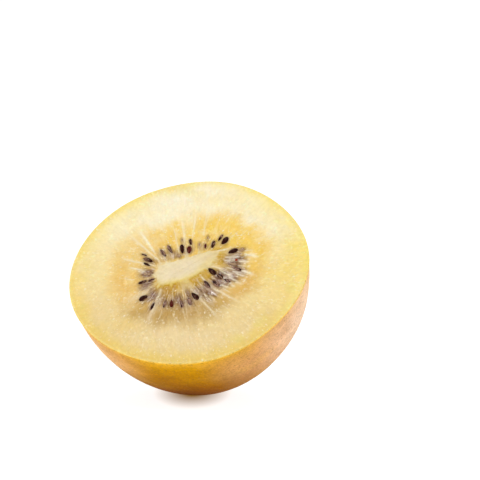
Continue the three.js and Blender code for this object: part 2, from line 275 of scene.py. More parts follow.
def gel_field(u, v, wobble):
    gel = np.zeros_like(u)
    lilac = np.zeros_like(u)
    for x, y, along_w, across_w, angle, strength, tint in GEL:
        a = math.radians(angle)
        near = (np.abs(u - x) < 5) & (np.abs(v - y) < 5)
        du, dv = u[near] - x, v[near] - y
        p = (du * math.cos(a) + dv * math.sin(a)) / along_w
        q = (-du * math.sin(a) + dv * math.cos(a)) / across_w + wobble[near] * 0.25
        value = strength * np.exp(-(p ** 4 + q ** 4) ** 0.75)
        gel[near] = 1 - (1 - gel[near]) * (1 - value)
        lilac[near] = np.maximum(lilac[near], value * tint)
    return gel, lilac


def pulp_field(u, v):
    """A soft cloud round the seeds, where the flesh is glassy."""
    field = np.zeros_like(u)
    for (x, y, length, width, thick, angle, depth) in SEEDS:
        a = math.radians(angle)
        du, dv = u - x, v - y
        near = (np.abs(du) < 4) & (np.abs(dv) < 4)
        p = (du[near] * math.cos(a) + dv[near] * math.sin(a)) / 1.75
        q = (-du[near] * math.sin(a) + dv[near] * math.cos(a)) / 1.0
        field[near] += 0.75 * np.exp(-(p * p + q * q))
    return field


def seed_field(u, v, grow):
    """0 far from every seed, 1 on one; grow widens each by that much."""
    field = np.zeros_like(u)
    for (x, y, length, width, thick, angle, depth) in SEEDS:
        a = math.radians(angle)
        du, dv = u - x, v - y
        near = (np.abs(du) < 3) & (np.abs(dv) < 3)
        p = (du[near] * math.cos(a) + dv[near] * math.sin(a)) / (length / 2 + grow)
        q = (-du[near] * math.sin(a) + dv[near] * math.cos(a)) / (width / 2 + grow)
        field[near] = np.maximum(field[near], 1 - smooth(0.75, 1.25, np.sqrt(p * p + q * q)))
    return field


def face_points(phi, t):
    """Points of the cut face: t 0 at the pale middle's edge, 1 at the skin, -1 inside."""
    cx, cy = core_point(phi)
    rx, ry = rim_point(phi)
    a, b = CORE_AXIS, np.array([-CORE_AXIS[1], CORE_AXIS[0]])
    da = (cx - CORE_MID[0]) * a[0] + (cy - CORE_MID[1]) * a[1]
    db = (cx - CORE_MID[0]) * b[0] + (cy - CORE_MID[1]) * b[1]
    mx = CORE_MID[0] + 0.60 * da * a[0] + 0.06 * db * b[0]
    my = CORE_MID[1] + 0.60 * da * a[1] + 0.06 * db * b[1]
    inside = np.clip(-t, 0, 1)
    outside = np.clip(t, 0, 1)
    u = cx + (rx - cx) * outside + (mx - cx) * inside
    v = cy + (ry - cy) * outside + (my - cy) * inside
    return u, v


VEIL, GAIN = 0.056, 0.995


def face_look(phi, t, u, v):
    """Colour (linear), height above the cut plane in mm, and roughness of the cut face."""
    two_pi = 2 * math.pi
    cx, cy = core_point(phi)
    reach = np.hypot(*np.subtract(rim_point(phi), (cx, cy)))   # from the middle to the skin along this ray
    dist = t * reach                                            # mm from the pale middle's edge
    to_rim = (1 - t) * reach
    angle = np.arctan2(v, u)
    radius = np.hypot(u, v)
    wob = fbm(u * 0.5, v * 0.5, 5, 3)
    turn = phi / two_pi
    plain = np.zeros(u.shape + (3,))

    def tint(r, g, b):
        return plain + srgb(r, g, b)

    # --- zones: a golden inner zone with a soft, spiky edge, and the pale middle
    amber_edge = periodic_spline(np.radians(AMBER[:, 0]), AMBER[:, 1], angle)
    spikes = 1.0 * fbm(turn * 46, dist * 0.06, 11, 2, wrap=46) + 0.7 * fbm(turn * 130, dist * 0.12, 12, 2, wrap=130)
    spikes = spikes + 0.8 * fbm(u * 0.8, v * 0.8, 14, 3)
    blur = 2.5 + 1.0 * noise(turn * 11, dist * 0 + 3.3, 13, wrap=11)
    amber = 1 - smooth(-blur, blur, radius - amber_edge + 0.1 + spikes)
    teeth = 1.9 * fbm(turn * 52, dist * 0.20, 21, 3, wrap=52) + 1.3 * fbm(u * 1.7, v * 1.7, 22, 3)
    core = 1 - smooth(-1.05, 0.95, dist + 0.18 + teeth)

    # --- colours by place: the top is the palest and the bottom the deepest, partly the flesh's own colour and partly painted light from above
    up = np.clip(v / 24.0, -1, 1)
    right = np.clip(u / 26.0, -1, 1)
    side = smooth(0.35, 0.95, right) * smooth(0.62, 0.05, np.abs(up + 0.02))
    outer = mix(tint(248, 226, 164), srgb(253, 240, 202), smooth(-0.05, 0.55, up + 0.10 * right))
    outer = mix(outer, srgb(239, 213, 153), smooth(0.02, 0.50, -up))
    outer = mix(outer, srgb(246, 217, 134), 0.85 * side)
    gold = mix(tint(238, 199, 112), srgb(247, 209, 104), smooth(0.05, 0.5, up + 0.3 * right))
    gold = mix(gold, srgb(236, 194, 92), 0.8 * side)
    gold = mix(gold, srgb(193, 156, 90), smooth(0.04, 0.40, -up + 0.18 * right - 0.1))
    gold = mix(gold, srgb(232, 186, 104), 0.6 * bump(u, 12.5, 3.2) * bump(v, -5.6, 3.0))
    gold = mix(gold, srgb(234, 190, 112), 0.6 * bump(u, -14.5, 3.0) * bump(v, -5.0, 3.6))
    gold = mix(gold, srgb(218, 172, 90), 0.6 * bump(u, 13.2, 2.4) * bump(v, -2.1, 2.2))
    pale_gold = smooth(0.1, 0.8, fbm(u * 0.30 + 4, v * 0.30, 31, 3))
    gold = mix(gold, outer, 0.45 * pale_gold)
    pale = 0.35 * bump(u, -14.6, 4.0) * bump(v, 5.0, 3.4) + 0.75 * bump(u, -1.4, 2.0) * bump(v, 14.4, 3.0)
    pale = pale + 0.45 * bump(u, -11.2, 2.6) * bump(v, 10.4, 2.0) + 0.40 * bump(u, 16.5, 2.4) * bump(v, 9.5, 2.0)
    gold = mix(gold, outer, np.clip(pale, 0, 1))
    outer = mix(outer, srgb(236, 203, 116), 0.50 * bump(u, -12.5, 3.2) * bump(v, -14.4, 2.6) + 0.22 * bump(u, 21.0, 3.0) * bump(v, 11.1, 3.0))
    outer = mix(outer, srgb(240, 216, 166), 0.8 * bump(u + 1, 0, 9.5) * bump(v, -16.5, 3.6))
    outer = mix(outer, srgb(238, 209, 126), smooth(4.2, 0.8, to_rim + 1.2 * wob) * smooth(0.1, 0.5, -up))
    green = smooth(0.15, 0.6, fbm(u * 0.30 + 7, v * 0.30, 81, 2)) * smooth(6, 1.5, to_rim)
    outer = mix(outer, srgb(236, 218, 118), 0.45 * green)
    colour = mix(outer, gold, amber)

    # --- the flesh: soft patches, soft broken streaks along the rays, and grain
    patch = fbm(u * 0.16 + 3, v * 0.16 + 9, 33, 3)
    colour = mix(colour, srgb(250, 222, 130), 0.34 * smooth(0.05, 0.65, patch) * (1 - amber))
    # the pale patches keep to the top, partly painted light from above
    colour = mix(colour, srgb(255, 247, 222), 0.42 * smooth(0.05, 0.65, -patch) * smooth(-0.1, 0.5, up) * (1 - amber))
    streak = fbm(turn * 150, dist * 0.30, 41, 3, wrap=150)
    fine = fbm(turn * 420, dist * 1.2, 42, 2, wrap=420)
    colour = colour * (1 + (0.026 * streak + 0.022 * fine)[..., None] * np.array([0.6, 1.0, 2.4]))
    ray_lines = smooth(0.46, 0.86, noise(turn * 150, dist * 0.12, 43, wrap=150)) * smooth(0.15, 0.6, noise(turn * 33, dist * 0.30, 44, wrap=33) + 0.3)
    ray_lines = 0.42 * ray_lines * smooth(2.0, 4.5, dist) * (1 - smooth(8.0, 13.0, dist)) * amber
    strokes = stroke_field(u, v, wob)
    # the rays are darker towards the bottom, less so on the right: partly painted light from above
    pale_out = mix(tint(253, 242, 212), srgb(238, 217, 176), smooth(0.05, 0.40, -up) * (1 - 0.8 * smooth(0.1, 0.4, right)))

    # --- golden flesh between the middle and the seeds, strongest below and to the right
    below = smooth(-0.35, 0.25, -np.sin(np.arctan2(v - CORE_MID[1], u - CORE_MID[0]) - math.radians(38)))
    comb = noise(turn * 27 + 0.15 * wob, dist * 0.05, 61, wrap=27) + 0.30 * noise(turn * 90, dist * 0.3, 64, wrap=90)
    tongue = 2.6 + 0.9 * comb + 0.6 * noise(turn * 13, dist * 0 + 1.5, 63, wrap=13)
    scallop = below * smooth(-0.4, 0.4, dist + 0.3 * comb) * (1 - smooth(tongue - 0.9, tongue + 0.9, dist))
    colour = mix(colour, srgb(210, 169, 60), np.clip(scallop * (0.95 + 0.25 * comb), 0, 1))
    deep = 1.1 * below * bump(dist, 1.3, 1.2) * smooth(-0.15, 0.55, comb) * smooth(6.0, 1.0, u)
    deep = deep + 0.9 * bump(u, -3.9, 1.6) * bump(v, -5.6, 0.9) + 0.65 * bump(u, 7.6, 1.6) * bump(v, 3.0, 1.3) + 1.15 * bump(u, -0.5, 2.4) * bump(v, -4.1, 1.2)
    colour = mix(colour, srgb(188, 143, 30), np.clip(deep * 0.80, 0, 0.95))

    # --- pulp round the seeds: grey and glassy, in fine strands
    gel, lilac = gel_field(u, v, fbm(u * 1.3, v * 1.3, 51, 2))
    near_pulp = pulp_field(u, v)
    where = np.maximum(smooth(0.05, 0.35, -up), smooth(0.12, 0.35, right) * smooth(0.35, 0.15, up))
    gel = np.maximum(np.clip(gel * 1.15, 0, 1), np.clip(near_pulp, 0, 1) * (0.20 + 0.74 * where))
    gel = gel * smooth(-0.1, 1.1, dist) * (1 - 0.8 * scallop * smooth(2.6, 1.2, dist))
    strand = fbm(turn * 210, dist * 0.55, 52, 3, wrap=210)
    thin = fbm(turn * 470, dist * 0.9, 53, 2, wrap=470)
    gel_colour = mix(tint(168, 138, 108), srgb(158, 129, 118), np.clip(lilac * 1.15, 0, 1))
    gel_colour = mix(gel_colour, srgb(104, 72, 60), 0.85 * smooth(0.0, 0.46, -strand))
    # the pale strands are partly the pulp's pale fibres and partly painted wet highlights
    gel_colour = mix(gel_colour, srgb(240, 224, 208), 0.80 * smooth(0.18, 0.58, strand + 0.45 * thin))
    colour = mix(colour, gel_colour, np.clip(gel * (0.92 + 0.30 * thin), 0, 0.96))
    shade = 0.95 * bump(u, 8.3, 2.0) * bump(v, -1.4, 1.6) + 0.60 * bump(u, -9.4, 1.8) * bump(v, -0.8, 1.4) + 0.85 * bump(u, -8.8, 1.4) * bump(v, -4.9, 1.2) + 0.70 * bump(u, 10.9, 1.2) * bump(v, 4.8, 0.8)
    shade = shade + 0.35 * bump(u, -6.6, 2.0) * bump(v, -6.6, 1.6) + 0.85 * bump(u, 9.6, 1.6) * bump(v, 3.5, 1.4)
    shade = shade + 0.34 * bump(u, 0.4, 3.2) * bump(v, -8.4, 1.7) + 0.30 * bump(u, 6.8, 1.4) * bump(v, -2.8, 1.2)
    shade = shade + 0.40 * bump(u, -10.2, 1.0) * bump(v, -5.5, 1.0) + 0.40 * bump(u, -5.5, 1.1) * bump(v, -8.0, 1.0)
    shade = shade + 0.40 * bump(u, -9.4, 1.2) * bump(v, 1.7, 0.9) + 0.50 * bump(u, -1.1, 0.9) * bump(v, 4.9, 0.9)
    colour = mix(colour, srgb(150, 120, 106), np.clip(shade * (1 - 0.6 * smooth(0.1, 0.5, strand)), 0, 1))
    # painted shadow: a dark ring round each seed, where the flesh meets it
    near_seed = seed_field(u, v, 0.22)
    colour = mix(colour, srgb(122, 86, 66), 0.42 * near_seed)

    # --- the pale middle, cream, with fibres that run out of its edge
    along = (u - CORE_MID[0]) * CORE_AXIS[0] + (v - CORE_MID[1]) * CORE_AXIS[1]
    core_colour = mix(tint(240, 223, 186), srgb(238, 219, 158), (0.25 + 0.75 * below) * smooth(-0.85, -0.1, t + 0.22 * wob))
    core_colour = mix(core_colour, srgb(234, 212, 160), 0.65 * smooth(1.0, 6.0, along))
    core_colour = mix(core_colour, srgb(222, 192, 104), 0.75 * below * smooth(-0.42, 0.0, t + 0.15 * wob) * smooth(4.0, 0.0, along))
    across = -(u - CORE_MID[0]) * CORE_AXIS[1] + (v - CORE_MID[1]) * CORE_AXIS[0]
    inner = smooth(-0.15, -0.75, t)
    core_fibre = fbm(turn * 90, t * 1.2, 71, 3, wrap=90) * (1 - inner) + 0.9 * fbm(across * 2.2 + 0.9 * wob, along * 0.40, 73, 3)
    core_colour = core_colour * (1 + (0.085 * core_fibre)[..., None] * np.array([0.7, 1.0, 1.6]))
    colour = mix(colour, core_colour, core)
    fibre_len = 1.0 + 0.6 * noise(turn * 40, dist * 0 + 2.5, 74, wrap=40)
    fuzz = smooth(0.0, 0.6, noise(turn * 110, dist * 0.3, 72, wrap=110)) * smooth(-0.4, 0.3, dist) * (1 - smooth(fibre_len - 0.8, fibre_len + 0.5, dist))
    ribs = below * smooth(0.22, 0.80, -comb) * smooth(-0.4, 0.3, dist) * (1 - smooth(tongue - 0.3, tongue + 1.6, dist))
    comb_teeth = np.maximum(0.80 * fuzz * (1 - 0.75 * below), 0.62 * ribs)
    colour = mix(colour, srgb(240, 222, 172), 0.66 * comb_teeth)

    lines = np.clip(np.maximum(strokes * (1 + 0.25 * thin), ray_lines), 0, 1)
    colour = mix(colour, pale_out, np.clip(lines * 0.88, 0, 1))

    # --- along the skin: a little yellower, then a thin pale line where the peel ends
    band = smooth(2.6, 0.3, to_rim + 0.7 * wob + 0.25 * streak)
    # the band is lighter towards the top right and darker towards the bottom, partly painted light from above
    band_colour = mix(tint(247, 219, 128), srgb(250, 231, 148), smooth(0, 0.8, right + 0.5 * up))
    band_colour = mix(band_colour, srgb(238, 208, 122), smooth(0.2, 0.8, -up))
    colour = mix(colour, band_colour, 0.72 * band)
    colour = mix(colour, srgb(252, 230, 164), 0.55 * smooth(0.60, 0.20, to_rim))

    rim_gold = 0.45 * smooth(9.0, 2.0, to_rim) * smooth(0.10, 0.60, right) * smooth(-0.20, 0.10, up)
    rim_gold = np.maximum(rim_gold, 0.42 * smooth(5.5, 0.5, to_rim) * smooth(-0.15, -0.55, right) * smooth(0.0, 0.30, up))
    colour = mix(colour, srgb(250, 226, 116), np.clip(rim_gold * (1 + 0.5 * patch), 0, 1))

    # --- tiny cells and beads that catch the light: painted highlights, paler in the colour, which also stand up, the beads glossier
    spark = smooth(0.34, 0.72, noise(u * 2.3 + 11, v * 2.3, 93)) * smooth(0.0, 0.6, noise(u * 0.8, v * 0.8 + 5, 94) + 0.3)
    spark = spark * (1 - core) * (1 - 0.5 * gel)
    bead_glint = smooth(0.52, 0.78, noise((0.94 * u + 0.34 * v) * 2.6 + 31, (0.94 * v - 0.34 * u) * 4.6, 96)) * smooth(-0.2, 0.5, noise(u * 0.9, v * 0.9 + 9, 97) + 0.2)
    bead_glint = bead_glint * smooth(1.2, 3.5, dist) * smooth(0.0, 4.0, to_rim) * (0.55 + 0.45 * amber) * (1 - near_seed)
    colour = mix(colour, np.minimum(colour * 1.10 + 0.06, 0.98), 0.65 * spark)
    colour = mix(colour, srgb(253, 240, 204), 0.62 * bead_glint)

    # --- relief: rays and cells stand up, the pulp round the seeds is sunk
    height = 0.11 * lines + 0.045 * streak * smooth(0.5, 3, dist) + 0.03 * fine * (1 - core)
    height = height + 0.07 * spark + 0.09 * bead_glint + 0.06 * fbm(u * 1.1, v * 1.1, 95, 3) + 0.03 * core_fibre * core
    height = height - gel * (0.24 - 0.13 * strand - 0.05 * thin) - 0.14 * scallop * (1 - 0.4 * comb)
    height = height + 0.11 * comb_teeth + 0.10 * core + 0.06 * near_seed
    height = height - 0.16 * (1 - smooth(0.0, 1.2, to_rim)) ** 2 + 0.05 * band
    rough = 0.46 - 0.24 * gel - 0.10 * scallop + 0.08 * core - 0.05 * amber - 0.20 * bead_glint
    colour = np.clip((colour - VEIL) * GAIN, 0.0, 0.97)
    return colour, height, np.clip(rough, 0.14, 0.7), dict(gel=gel, core=core, amber=amber, lines=lines, scallop=scallop)


# ---------------------------------------------------------------------------- mesh helpers
MM = 0.001
COLS = 720            # columns of the cut face
SKIN_COLS = 360       # columns of the skin


def to_row(across, up, out):
    """Cut-face coordinates in mm to the shared frame in metres."""
    p = CENTRE + across[..., None] * ACROSS + up[..., None] * UP + out[..., None] * OUT
    return p * MM


def new_mesh(name, verts, faces, smooth_faces=True):
    mesh = bpy.data.meshes.new(name)
    mesh.from_pydata(verts.tolist(), [], faces)
    mesh.validate()
    mesh.update()
    if smooth_faces:
        mesh.polygons.foreach_set("use_smooth", np.ones(len(mesh.polygons), bool))
    obj = bpy.data.objects.new(name, mesh)
    bpy.context.scene.collection.objects.link(obj)
    return obj


def add_colour(mesh, name, rgb):
    attribute = mesh.attributes.new(name, "FLOAT_COLOR", "POINT")
    attribute.data.foreach_set("color", np.concatenate([rgb, np.ones((len(rgb), 1))], 1).astype(np.float32).ravel())


def add_value(mesh, name, value):
    attribute = mesh.attributes.new(name, "FLOAT", "POINT")
    attribute.data.foreach_set("value", value.astype(np.float32).ravel())


# ------------------------------------------------------------------------------- the fruit
EDGE = 0.32           # round of the peel's edge at the cut


def side_depth(radius):
    near, far = np.full_like(radius, 0.5), np.ones_like(radius)
    for _ in range(40):
        mid = (near + far) / 2
        wide = side_radius(mid) > radius
        near, far = np.where(wide, mid, near), np.where(wide, far, mid)
    return DEPTH * far


def skin_points(phi, radius, depth):
    """Points of the skin from the radius before the lobes and the depth behind the cut."""
    s = np.clip(depth / DEPTH, 0, 1)
    wide = 1 + (1 - s * s) * (lobes(phi, LOBES) + 2 * s * lobes(phi, CHANGE))
    u = radius * wide * np.cos(phi) + s * s * LEAN[0]
    v = radius * wide * np.sin(phi) + s * s * LEAN[1]
    return u, v, -depth


def skin_look(phi, s, xyz):
    """Colour (linear) and unevenness in mm of the skin. xyz in mm."""
    x, y, z = xyz[..., 0], xyz[..., 1], xyz[..., 2]
    turn = phi / (2 * math.pi)
    mottle = fbm(turn * 14, s * 7, 201, 3, wrap=14)
    fine = fbm(turn * 90, s * 36, 202, 3, wrap=90)
    # golden brown; deeper and yellower low down in front. Paler and pinker to the right and paler to the left are
    # painted sheen, and darker low down is painted shade
    height = CENTRE[2] + y * UP[2] + z * OUT[2]
    front = smooth(2.0, -14.0, y) * smooth(0.95, 0.55, s)
    base = mix(np.broadcast_to(srgb(210, 152, 74), s.shape + (3,)), srgb(196, 136, 58), smooth(0.15, 0.8, s))
    base = mix(base, srgb(197, 140, 32), front * np.exp(-(x / 15.0) ** 4))
    # painted sheen: these three lines make the skin paler and pinker to the right and paler to the left
    base = mix(base, srgb(210, 157, 108), 0.78 * smooth(2.0, 14.0, x + 1.5 * mottle) * front)
    base = mix(base, srgb(246, 212, 180), 0.95 * smooth(9.0, 26.0, x + 0.25 * y) * smooth(0.95, 0.3, s))
    base = mix(base, srgb(246, 198, 146), 0.88 * smooth(-5.0, -23.0, x) * smooth(0.95, 0.3, s))
    base = mix(base, srgb(232, 180, 96), 0.42 * smooth(0.0, 0.6, mottle))
    base = mix(base, srgb(172, 110, 40), 0.38 * smooth(0.0, 0.7, -mottle))
    base = mix(base, srgb(146, 94, 40), 0.50 * smooth(0.84, 1.0, s))
    # painted shade: darker low down, near where the fruit rests
    base = mix(base, srgb(128, 70, 0), 0.84 * smooth(10.0, 0.8, height) * (0.35 + 0.65 * front))
    # the peel glows yellow just under the cut, where light comes through the flesh
    glow = np.exp(-(s * DEPTH) / 2.8)
    base = mix(base, srgb(236, 178, 46), np.clip(0.9 * glow * (1 + 0.5 * mottle), 0, 1) * (1 - 0.55 * smooth(10.0, 24.0, x)))
    base = base * (1 + 0.10 * fine[..., None])
    # small corky dots
    dots = smooth(0.60, 0.86, noise(turn * 150, s * 62, 203, wrap=150)) * smooth(-0.3, 0.4, noise(turn * 20, s * 9, 204, wrap=20))
    base = mix(base, srgb(140, 86, 34), 0.32 * dots)
    base = np.clip((base - 0.018) * 0.98, 0, 1)
    lift = 0.030 * fbm(turn * 40, s * 18, 206, 3, wrap=40) + 0.05 * fbm(turn * 9, s * 4, 207, 2, wrap=9) + 0.035 * dots
    return np.clip(base, 0, 1), lift


def build_fruit():
    phi = np.arange(COLS) * 2 * math.pi / COLS
    inner = -1 + np.linspace(0, 1, 13)[:-1]
    t_rows = np.concatenate([inner, np.linspace(0, 0.36, 34), np.linspace(0.36, 1.0, 40)[1:]])
    P, T = np.meshgrid(phi, t_rows)
    cx, cy = core_point(P)
    rx, ry = rim_point(P)
    reach = np.hypot(rx - cx, ry - cy)
    T = np.where(T > 0, T * (1 - EDGE / reach), T)
    U, V = face_points(P, T)
    colour, height, rough, masks = face_look(P, T, U, V)

    verts, tone, roughs, gels = [], [], [], []
    plain = np.clip(masks["core"] + 0.5 * masks["gel"], 0, 1)

    def add(points, col, rgh, gel):
        start = sum(len(a) for a in verts)
        verts.append(points.reshape(-1, 3))
        tone.append(col.reshape(-1, 3))
        roughs.append(np.broadcast_to(rgh, points.shape[:-1]).ravel())
        gels.append(np.broadcast_to(gel, points.shape[:-1]).ravel())
        return start

    mid = to_row(np.array([CORE_MID[0]]), np.array([CORE_MID[1]]), np.array([0.10]))
    add(mid, colour[0, :1], rough[0, :1], np.ones(1))
    start_face = add(to_row(U, V, height), colour, rough, plain)
    rows = len(t_rows)

    # the peel's rounded edge
    last_h, last_c = height[-1], colour[-1]
    ring_rows = []
    for k in (1, 2, 3):
        a = math.radians(30 * k)
        inset, down = EDGE * (1 - math.sin(a)), EDGE * (1 - math.cos(a))
        u, v, out = skin_points(phi, np.full(COLS, R0), np.full(COLS, down))
        r = np.hypot(u, v)
        u, v = u * (1 - inset / r), v * (1 - inset / r)
        out = out + last_h * math.cos(a)
        peel = mix(last_c, srgb(248, 214, 110), np.full(COLS, 0.25 * k))
        if k == 3:
            peel = mix(peel, srgb(236, 176, 34), np.full(COLS, 0.7))
        ring_rows.append(add(to_row(u, v, out), peel, 0.42, 0.0))

    # the skin down to the hollow at the stem end
    n_side = 70
    first = 1.0 / DEPTH
    quarter = np.sin(np.linspace(0, 1, n_side + 1) * math.pi / 2)
    s_rows = first + quarter * (1 - first)
    side = side_radius(s_rows)
    s_rows = s_rows[side > DIP_R + 0.25]
    side = side_radius(s_rows)
    phi2 = np.arange(SKIN_COLS) * 2 * math.pi / SKIN_COLS
    radii = list(side)
    depths = list(s_rows * DEPTH)
    for r in (4.6, 4.15, 3.7, 3.25, 2.8, 2.4, 2.05, 1.8):
        ring = np.array([r])
        radii.append(r)
        depths.append(float(side_depth(ring)[0] - DIP_D * (1 - (r / DIP_R) ** 2) ** 2))
    floor_depth = float(side_depth(np.array([1.5]))[0] - DIP_D * (1 - (1.5 / DIP_R) ** 2) ** 2)
    for r, h in ((1.58, 0.05), (1.48, 0.30), (1.36, 0.56), (1.15, 0.68), (0.9, 0.66), (0.6, 0.55), (0.3, 0.50)):
        radii.append(r)
        depths.append(floor_depth + h)
    P2, RAD = np.meshgrid(phi2, np.array(radii))
    _, DEP = np.meshgrid(phi2, np.array(depths))
    S2 = DEP / DEPTH
    # the scar's ragged edge and the fine wrinkles that run into the hollow
    pull = smooth(9.0, 3.5, RAD) * smooth(1.2, 2.4, RAD)
    wrinkle = np.abs(noise(P2 / (2 * math.pi) * 34, RAD * 0.10, 301, wrap=34)) - 0.5
    DEP = DEP - 0.16 * pull * wrinkle
    scar = smooth(1.95, 1.45, RAD)
    DEP = DEP + scar * 0.16 * fbm(P2 / (2 * math.pi) * 11, RAD * 1.6, 302, 2, wrap=11)
    RAD = RAD * (1 + 0.10 * scar * smooth(0.2, 1.0, RAD) * noise(P2 / (2 * math.pi) * 13, RAD * 0.3, 303, wrap=13))
    u, v, out = skin_points(P2, RAD, DEP)
    flat = np.stack([u, v, out], -1)
    base, lift = skin_look(P2, S2, flat)
    base = mix(base, srgb(112, 74, 40), scar * 0.85)
    base = mix(base, srgb(140, 96, 50), 0.5 * pull)
    scale = 1 + np.minimum(lift - 0.11, 0.0) / np.maximum(np.hypot(u, v), 4.0) * smooth(0, 1.5, DEP)
    pts = to_row(u * scale, v * scale, out)
    pts[..., 2] = np.maximum(pts[..., 2], 0.0)
    start_skin = add(pts, base, 0.5, np.exp(-((DEP - 0.85) / 0.55) ** 2))
    tip_depth = floor_depth + 0.48
    tu, tv, tout = skin_points(np.array([0.0]), np.array([0.0]), np.array([tip_depth]))
    start_tip = add(to_row(tu, tv, tout), base[-1, :1], 0.7, 0.0)

    faces, slots = [], []

    def ring_quads(a, b, n, slot):
        for k in range(n):
            j = (k + 1) % n
            faces.append((a + k, b + k, b + j, a + j))
            slots.append(slot)

    for k in range(COLS):
        faces.append((0, start_face + k, start_face + (k + 1) % COLS))
        slots.append(0)
    for r in range(rows - 1):
        ring_quads(start_face + r * COLS, start_face + (r + 1) * COLS, COLS, 0)
    ring_quads(start_face + (rows - 1) * COLS, ring_rows[0], COLS, 0)
    ring_quads(ring_rows[0], ring_rows[1], COLS, 1)
    ring_quads(ring_rows[1], ring_rows[2], COLS, 1)
    # two face columns meet one skin column
    for k in range(SKIN_COLS):
        a0, a1, a2 = ring_rows[2] + 2 * k, ring_rows[2] + (2 * k + 1) % COLS, ring_rows[2] + (2 * k + 2) % COLS
        b0, b1 = start_skin + k, start_skin + (k + 1) % SKIN_COLS
        faces.extend([(a0, b0, a1), (a1, b0, b1), (a1, b1, a2)])
        slots.extend([1, 1, 1])
    n_skin = len(radii)
    for r in range(n_skin - 1):
        ring_quads(start_skin + r * SKIN_COLS, start_skin + (r + 1) * SKIN_COLS, SKIN_COLS, 1)
    for k in range(SKIN_COLS):
        a = start_skin + (n_skin - 1) * SKIN_COLS
        faces.append((a + k, start_tip, a + (k + 1) % SKIN_COLS))
        slots.append(1)

    obj = new_mesh("kiwi_half", np.concatenate(verts), faces)
    obj.data.polygons.foreach_set("material_index", np.array(slots, np.int32))
    add_colour(obj.data, "tone", np.concatenate(tone))
    add_value(obj.data, "plain", np.concatenate(gels))
    add_value(obj.data, "dull", np.concatenate(roughs))
    return obj


# ------------------------------------------------------------------------------- the seeds
def build_seed(k):
    x, y, length, width, thick, angle, depth = SEEDS[k]
    look = LOOK[k]
    rng = np.random.RandomState(700 + k)
    n_around, n_along = 28, 20
    theta = np.linspace(0, math.pi, n_along + 1)[1:-1]
    ring = np.arange(n_around) * 2 * math.pi / n_around
    TH, RG = np.meshgrid(theta, ring, indexing="ij")
    end_on = thick > length
    # a drop: full outer end, narrower inner end with a small blunt tip
    py = np.cos(TH)
    pr = np.sin(TH) ** 0.92 * (1 + rng.uniform(0.12, 0.30) * py - 0.10 * py * py)
    bump_ = 1 + 0.05 * noise(RG * 7 / (2 * math.pi), TH * 3, 400 + k, wrap=7) + 0.025 * noise(RG * 14 / (2 * math.pi), TH * 7, 440 + k, wrap=14)
    px = pr * np.cos(RG) * bump_
    pz = np.sign(np.sin(RG)) * np.abs(np.sin(RG)) ** 1.05 * pr * bump_
    poles = np.array([[0, 1.0, 0], [0, -1.0, 0]])
    pts = np.concatenate([np.stack([px, py, pz], -1).reshape(-1, 3), poles])
    if end_on:
        pts = np.stack([pts[:, 0], -pts[:, 2], pts[:, 1]], -1)
    pts = pts * np.array([width / 2, length / 2, thick / 2])
    roll = rng.uniform(-0.18, 0.18)
    tilt = rng.uniform(-0.10, 0.10)
    ca, sa = math.cos(roll), math.sin(roll)
    pts = pts @ np.array([[ca, 0, -sa], [0, 1, 0], [sa, 0, ca]])
    ca, sa = math.cos(tilt), math.sin(tilt)
    pts = pts @ np.array([[1, 0, 0], [0, ca, sa], [0, -sa, ca]])
    a = math.radians(angle)
    if math.cos(a) * x + math.sin(a) * y < 0:
        a += math.pi
    a -= math.pi / 2
    ca, sa = math.cos(a), math.sin(a)
    local = pts.copy()
    pts = np.stack([pts[:, 0] * ca - pts[:, 1] * sa + x, pts[:, 0] * sa + pts[:, 1] * ca + y, pts[:, 2] - depth], -1)
    verts = to_row(pts[:, 0], pts[:, 1], pts[:, 2])
    faces = []
    for r in range(n_along - 2):
        for c in range(n_around):
            d = (c + 1) % n_around
            faces.append((r * n_around + c, r * n_around + d, (r + 1) * n_around + d, (r + 1) * n_around + c))
    top, bottom = len(pts) - 2, len(pts) - 1
    last = (n_along - 2) * n_around
    for c in range(n_around):
        d = (c + 1) % n_around
        faces.append((top, d, c))
        faces.append((bottom, last + c, last + d))
    obj = new_mesh("seed_%02d_coat" % (k + 1), verts, faces)

    # colour of the coat, and the pale film of pulp that lies over it in strands
    dark = {"r": srgb(80, 18, 8), "o": srgb(150, 46, 16), "f": srgb(112, 78, 58)}.get(look, srgb(44, 7, 0))
    shade = np.broadcast_to(dark, (len(pts), 3)).copy()
    film = {"b": 0.06, "h": 0.27, "v": 0.52, "r": 0.14, "o": 0.22, "f": 0.78}[look]
    strands = fbm(local[:, 0] * 5.5 + 9.3 * k, local[:, 1] * 1.1 + 2.1 * k, 500 + k, 3)
    strands = (strands - strands.mean()) / strands.std()
    side = np.abs(local[:, 0]) / (0.5 * width)
    cover = smooth(-1.0, 1.2, strands + 4.0 * (film - 0.5) + 0.5 * (side - 0.6))
    cover = np.clip(cover, 0, 0.86)
    veil = {"b": srgb(150, 108, 84), "h": srgb(186, 146, 118), "v": srgb(172, 134, 114), "r": srgb(156, 104, 84), "o": srgb(180, 110, 70), "f": srgb(184, 152, 118)}[look]
    shade = mix(shade, veil, cover)
    add_colour(obj.data, "tone", np.clip(shade, 0, 1))
    return obj


# ---------------------------------------------------------------------------- the materials
def material(name):
    mat = bpy.data.materials.new(name)
    mat.use_nodes = True
    nodes, links = mat.node_tree.nodes, mat.node_tree.links
    nodes.clear()
    out = nodes.new("ShaderNodeOutputMaterial")
    bsdf = nodes.new("ShaderNodeBsdfPrincipled")
    links.new(bsdf.outputs[0], out.inputs[0])
    return mat, nodes, links, bsdf


def attribute(nodes, name):
    node = nodes.new("ShaderNodeAttribute")
    node.attribute_name = name
    return node


def coords(nodes):
    return nodes.new("ShaderNodeTexCoord").outputs["Object"]


